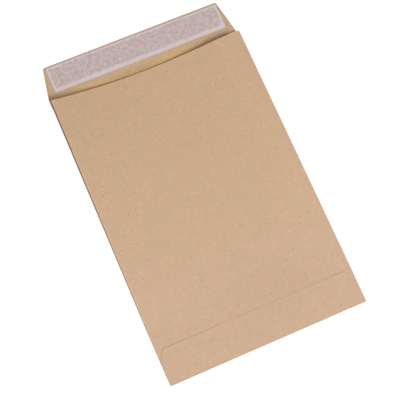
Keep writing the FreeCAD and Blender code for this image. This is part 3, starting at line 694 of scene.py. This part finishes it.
def makeKraft(name, colour, throat):
    # recycled pulp: the colour times an even crossed grain, faint clouds, curly fibres, the mesh's painted
    # light and shade, pale folds of wear and painted highlight, a darker rim with painted shade at the bottom
    # fold and wide tints, then a painted sheen and the throat's warm light, with sparse flecks over it
    finish = Finish(name)
    grainAlong = finish.noise(finish.objectPlace((1, 0.4, 1), 0.3), kraft["grainsPerMetre"][0], 3, 0.65)
    grainAcross = finish.noise(finish.objectPlace((0.4, 1, 1), 0.5), kraft["grainsPerMetre"][1], 3, 0.65)
    grain = finish.maths("ADD", grainAlong, grainAcross)
    clouds = finish.noise(finish.objectPlace(), kraft["cloudsPerMetre"], 3, 0.6)
    shade = finish.between(grain, 1 - 3 * kraft["grain"], 1 + 3 * kraft["grain"], 0.4, 1.6)
    cloud = finish.between(clouds, 1 - kraft["cloud"], 1 + kraft["cloud"], 0.3, 0.7)
    shade = finish.maths("MULTIPLY", shade, cloud)
    pale = curlyFibres(finish, *kraft["paleFibres"], 1.0, 1 + kraft["fibre"])
    shade = finish.maths("MULTIPLY", shade, pale)
    dark = curlyFibres(finish, *kraft["darkFibres"], 7.0, 1 - kraft["fibre"])
    shade = finish.maths("MULTIPLY", shade, dark)
    fold = finish.node("ShaderNodeAttribute", attribute_name="fromFold").outputs["Fac"]
    rim = finish.node("ShaderNodeAttribute", attribute_name="fromRim").outputs["Fac"]
    # pale band at folds and cut edges: wear, and a painted highlight over the left fold's shade
    wornAndLit = finish.between(fold, kraft["wearAndHighlight"], 0, 0, kraft["wearAndHighlightWidth"])
    # painted light and shade kept on the mesh's points
    paintedLightAndShade = finish.node("ShaderNodeAttribute", attribute_name="paintedLightAndShade").outputs["Fac"]
    uneven = finish.noise(finish.objectPlace(), kraft["wearAndHighlightPerMetre"], 2, 0.5)
    uneven = finish.between(uneven, 0.4, 1.4, 0.3, 0.7)
    shade = finish.maths("MULTIPLY", shade, finish.maths("ADD", finish.maths("MULTIPLY", wornAndLit, uneven), 1.0))
    shade = finish.maths("MULTIPLY", shade, paintedLightAndShade)
    grey = finish.node("ShaderNodeCombineColor", {0: shade, 1: shade, 2: shade}).outputs[0]
    base = finish.mix(1.0, linear(*colour), grey, "MULTIPLY")
    # darker rim: painted shade at the bottom fold, and darker at the seal flap's rim
    darkenedRim = finish.between(rim, 1, 0, 0, kraft["rimDarkeningWidth"])
    base = finish.mix(1.0, base, finish.mix(darkenedRim, (1, 1, 1, 1), (*kraft["rimDarkening"], 1)), "MULTIPLY")
    patches = finish.noise(finish.objectPlace(), kraft["patchesPerMetre"], 2, 0.5)
    patches = finish.between(patches, 0, 1, 0.35, 0.65)
    tint = finish.mix(patches, (*kraft["pink"], 1), (*kraft["green"], 1))
    base = finish.mix(1.0, base, tint, "MULTIPLY")
    up = finish.node("ShaderNodeSeparateXYZ", {"Vector": finish.objectPlace()}).outputs["Y"]
    # painted sheen: the colour turns yellower towards the mouth
    sheenRamp = finish.between(up, 0, 1, *kraft["paintedSheenRange"])
    base = finish.mix(1.0, base, finish.mix(sheenRamp, (1, 1, 1, 1), (*kraft["paintedSheenTint"], 1)), "MULTIPLY")
    deep = finish.between(up, 1, 0, *kraft["throatRange"])
    base = finish.mix(1.0, base, finish.mix(deep, (1, 1, 1, 1), (*throat, 1)), "MULTIPLY")
    for fleck in kraft["flecks"]:
        base = addFlecks(finish, base, *fleck)
    finish.use("Base Color", base)
    finish.use("Roughness", kraft["roughness"])
    finish.use("Specular IOR Level", 0.3)
    bump = finish.node("ShaderNodeBump", {"Height": grain, "Strength": 0.12, "Distance": 0.05 * mm})
    finish.use("Normal", bump.outputs["Normal"])
    return finish.material


release = {
    "border": (219, 200, 192),              # bare borders, in two hues
    "coolBorder": (212, 201, 209),
    "middle": (187, 168, 166),              # over the adhesive, where it touches more or less
    "patch": (211, 193, 191),
    "pink": (1.03, 0.97, 1.035),            # tints over the adhesive
    "grey": (0.965, 1.006, 0.955),
    "speck": (240, 228, 226),               # small air bubbles
    "soak": (150, 130, 128),                # small wet spots
    "mottlesPerMetre": 190,
    "specksPerMetre": 460,
    "soaksPerMetre": 420,
    "tintsPerMetre": 110,
    "borderHuesPerMetre": 75,
    "grainsPerMetre": 800,
    "waver": 1.3,               # how far the adhesive's edge strays, in millimetres
    "waversPerMetre": 170,
}


def makeReleasePaper():
    # translucent liner: lilac white at its bare borders, mauve where the adhesive shows through it,
    # mottled there where it touches the adhesive more or less
    finish = Finish("release_liner_finish")
    flat = finish.node("ShaderNodeUVMap", uv_map="flat").outputs["UV"]
    parts = finish.node("ShaderNodeSeparateXYZ", {"Vector": flat})
    across, away = parts.outputs["X"], parts.outputs["Y"]
    waver = finish.noise(flat, release["waversPerMetre"], 3, 0.6)
    waver = finish.between(waver, -release["waver"] * mm, release["waver"] * mm, 0.3, 0.7)
    near = (strips["nearInset"] - linerBreadth / 2) * mm
    far = (linerBreadth / 2 - strips["farInset"]) * mm
    end = (linerLength / 2 - strips["endInset"]) * mm
    soft = 0.5 * mm
    inward = finish.maths("ADD", away, waver)
    overNear = finish.between(inward, 0, 1, near - soft, near + soft)
    underFar = finish.between(inward, 1, 0, far - soft, far + soft)
    length = finish.maths("ADD", finish.maths("ABSOLUTE", across), waver)
    withinEnds = finish.between(length, 1, 0, end - soft, end + soft)
    zone = finish.maths("MULTIPLY", finish.maths("MULTIPLY", overNear, underFar), withinEnds)
    mottle = finish.between(finish.noise(flat, release["mottlesPerMetre"], 4, 0.72), 0, 1, 0.36, 0.64)
    glue = finish.mix(mottle, linear(*release["middle"]), linear(*release["patch"]))
    bright = finish.between(finish.noise(flat, release["specksPerMetre"], 1, 0.5), 0, 0.9, 0.67, 0.75)
    glue = finish.mix(bright, glue, linear(*release["speck"]))
    wet = finish.between(finish.noise(flat, release["soaksPerMetre"], 1, 0.5), 0.8, 0, 0.25, 0.35)
    glue = finish.mix(wet, glue, linear(*release["soak"]))
    hue = finish.between(finish.noise(flat, release["tintsPerMetre"], 3, 0.5), 0, 1, 0.38, 0.62)
    glue = finish.mix(1.0, glue, finish.mix(hue, (*release["pink"], 1), (*release["grey"], 1)), "MULTIPLY")
    cool = finish.between(finish.noise(flat, release["borderHuesPerMetre"], 2, 0.5), 0, 1, 0.4, 0.6)
    bare = finish.mix(cool, linear(*release["border"]), linear(*release["coolBorder"]))
    base = finish.mix(zone, bare, glue)
    shade = finish.between(finish.noise(flat, release["grainsPerMetre"], 2, 0.6), 0.93, 1.07, 0.3, 0.7)
    grey = finish.node("ShaderNodeCombineColor", {0: shade, 1: shade, 2: shade}).outputs[0]
    finish.use("Base Color", finish.mix(1.0, base, grey, "MULTIPLY"))
    finish.use("Roughness", 0.45)
    finish.use("Specular IOR Level", 0.35)
    return finish.material


tack = {
    "pale": (214, 196, 168),
    "dark": (196, 176, 150),
    "streaksPerMetre": 700,
    "roughness": 0.25,
}


def makeAdhesive():
    # pale sticky film with a soft gloss and faint streaks along it
    finish = Finish("adhesive_finish")
    flat = finish.node("ShaderNodeUVMap", uv_map="flat").outputs["UV"]
    drawn = finish.node("ShaderNodeMapping", {"Vector": flat, "Scale": (0.1, 1, 1)}).outputs["Vector"]
    streaks = finish.noise(drawn, tack["streaksPerMetre"], 3, 0.6)
    finish.use("Base Color", finish.mix(streaks, linear(*tack["pale"]), linear(*tack["dark"])))
    finish.use("Roughness", tack["roughness"])
    return finish.material


def dress(piece, nodeName, slotName, *materials):
    # the outer side takes the first material and the inner side the second
    for place, material in enumerate(materials):
        piece.data.materials[place] = material
    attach(piece, "root")
    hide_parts(nodeName)


outside = makeKraft("kraft_outside", kraft["outside"], (1, 1, 1))
inside = makeKraft("kraft_inside", kraft["inside"], kraft["throatTint"])
dress(envelopePaper, "envelope_sheet", "kraft_paper", outside, inside)
dress(adhesiveBand, "adhesive_strip", "adhesive", makeAdhesive())
dress(linerStrip, "release_liner", "release_paper", makeReleasePaper())
print("finishes made")

# Floor, light and camera

studio = {
    "horizon": 0.14,            # strength of the sky at the horizon and overhead
    "zenith": 0.52,
    "skyColour": (1.0, 0.985, 0.95),
    "lamp": 106.0,              # watts of the soft lamp beyond the bottom fold, to the right
    "lampColour": (0.97, 0.99, 1.0),
    "lampPlace": (0.6, -2.35, 2.3),
    "lampSize": 1.9,            # metres across
    "floor": (125, 125, 125),
    "floorReach": 3.0,
    "floorDepth": 0.05,         # millimetres below the envelope
    "floorGlow": 0.88,          # what the camera sees added to the floor, so that it is white
}


def makeFloor():
    # a square whose grey takes the object's shadow, plus a glow for rays that come from the camera,
    # off gloss or through glass
    mesh = bpy.data.meshes.new("floor")
    reach, low = studio["floorReach"], -studio["floorDepth"] * mm
    corners = [(-reach, -reach, low), (reach, -reach, low), (reach, reach, low), (-reach, reach, low)]
    mesh.from_pydata(corners, [], [(0, 1, 2, 3)])
    floor = bpy.data.objects.new("floor", mesh)
    bpy.context.scene.collection.objects.link(floor)
    finish = Finish("floor_finish")
    finish.use("Base Color", linear(*studio["floor"]))
    finish.use("Roughness", 0.9)
    finish.use("Specular IOR Level", 0.0)
    path = finish.node("ShaderNodeLightPath")
    seen = finish.maths("MAXIMUM", path.outputs["Is Camera Ray"], path.outputs["Is Glossy Ray"])
    seen = finish.maths("MAXIMUM", seen, path.outputs["Is Transmission Ray"])
    glow = finish.node("ShaderNodeEmission", {"Strength": studio["floorGlow"]})
    dark = finish.node("ShaderNodeEmission", {"Strength": 0.0})
    chosen = finish.node("ShaderNodeMixShader", {0: seen, 1: dark.outputs[0], 2: glow.outputs[0]})
    both = finish.node("ShaderNodeAddShader", {0: finish.shader.outputs[0], 1: chosen.outputs[0]})
    finish.tree.links.new(both.outputs[0], finish.tree.nodes["Material Output"].inputs["Surface"])
    floor.data.materials.append(finish.material)


def makeSky():
    # light that grows evenly with height, and a plain white for rays that come from the camera or
    # through glass
    world = bpy.data.worlds.new("studio")
    bpy.context.scene.world = world
    world.use_nodes = True
    tree = world.node_tree
    background = tree.nodes["Background"]
    background.inputs["Color"].default_value = (*studio["skyColour"], 1)
    direction = tree.nodes.new("ShaderNodeTexCoord")
    parts = tree.nodes.new("ShaderNodeSeparateXYZ")
    tree.links.new(direction.outputs["Generated"], parts.inputs[0])
    rising = tree.nodes.new("ShaderNodeMapRange")
    rising.inputs["To Min"].default_value = studio["horizon"]
    rising.inputs["To Max"].default_value = studio["zenith"]
    tree.links.new(parts.outputs["Z"], rising.inputs["Value"])
    path = tree.nodes.new("ShaderNodeLightPath")
    either = tree.nodes.new("ShaderNodeMath")
    either.operation = "MAXIMUM"
    tree.links.new(path.outputs["Is Camera Ray"], either.inputs[0])
    tree.links.new(path.outputs["Is Transmission Ray"], either.inputs[1])
    strength = tree.nodes.new("ShaderNodeMapRange")
    strength.inputs["To Max"].default_value = 1.0
    tree.links.new(either.outputs[0], strength.inputs["Value"])
    tree.links.new(rising.outputs["Result"], strength.inputs["To Min"])
    tree.links.new(strength.outputs["Result"], background.inputs["Strength"])


def makeLamp():
    # a round soft lamp that looks at the middle of the envelope
    lamp = bpy.data.lights.new("softLamp", "AREA")
    lamp.shape = "DISK"
    lamp.size = studio["lampSize"]
    lamp.energy = studio["lamp"]
    lamp.color = studio["lampColour"]
    holder = bpy.data.objects.new("softLamp", lamp)
    holder.location = studio["lampPlace"]
    aim = -np.array(studio["lampPlace"])
    holder.rotation_euler = (math.atan2(math.hypot(aim[0], aim[1]), -aim[2]), 0,
                             math.atan2(aim[1], aim[0]) - math.pi / 2)
    bpy.context.scene.collection.objects.link(holder)


view = {
    "place": (-183.08, -303.55, 1229.58),
    "right": (0.916201, -0.399317, 0.033491),           # the picture's axes in the envelope's frame
    "down": (-0.375868, -0.885350, -0.273639),
    "forward": (0.138920, 0.238120, -0.961249),
    "focal": 1050.0,            # in pixels of a picture this wide
    "pictureWidth": 400,
    "sensor": 36.0,
}


def makeCamera():
    # the lens is the focal length in pixels times the sensor's width over the picture's
    camera = bpy.data.cameras.new("camera")
    camera.sensor_width = view["sensor"]
    camera.lens = view["focal"] * view["sensor"] / view["pictureWidth"]
    camera.clip_start = 0.05
    camera.clip_end = 20.0
    holder = bpy.data.objects.new("camera", camera)
    columns = np.array([view["right"], -np.array(view["down"]), -np.array(view["forward"])]).T
    placed = np.eye(4)
    placed[:3, :3] = columns
    placed[:3, 3] = np.array(view["place"]) * mm
    holder.matrix_world = Matrix(placed.tolist())
    bpy.context.scene.collection.objects.link(holder)
    bpy.context.scene.camera = holder


makeFloor()
makeSky()
makeLamp()
makeCamera()
bpy.context.scene.view_settings.view_transform = "Standard"
print("stage set")
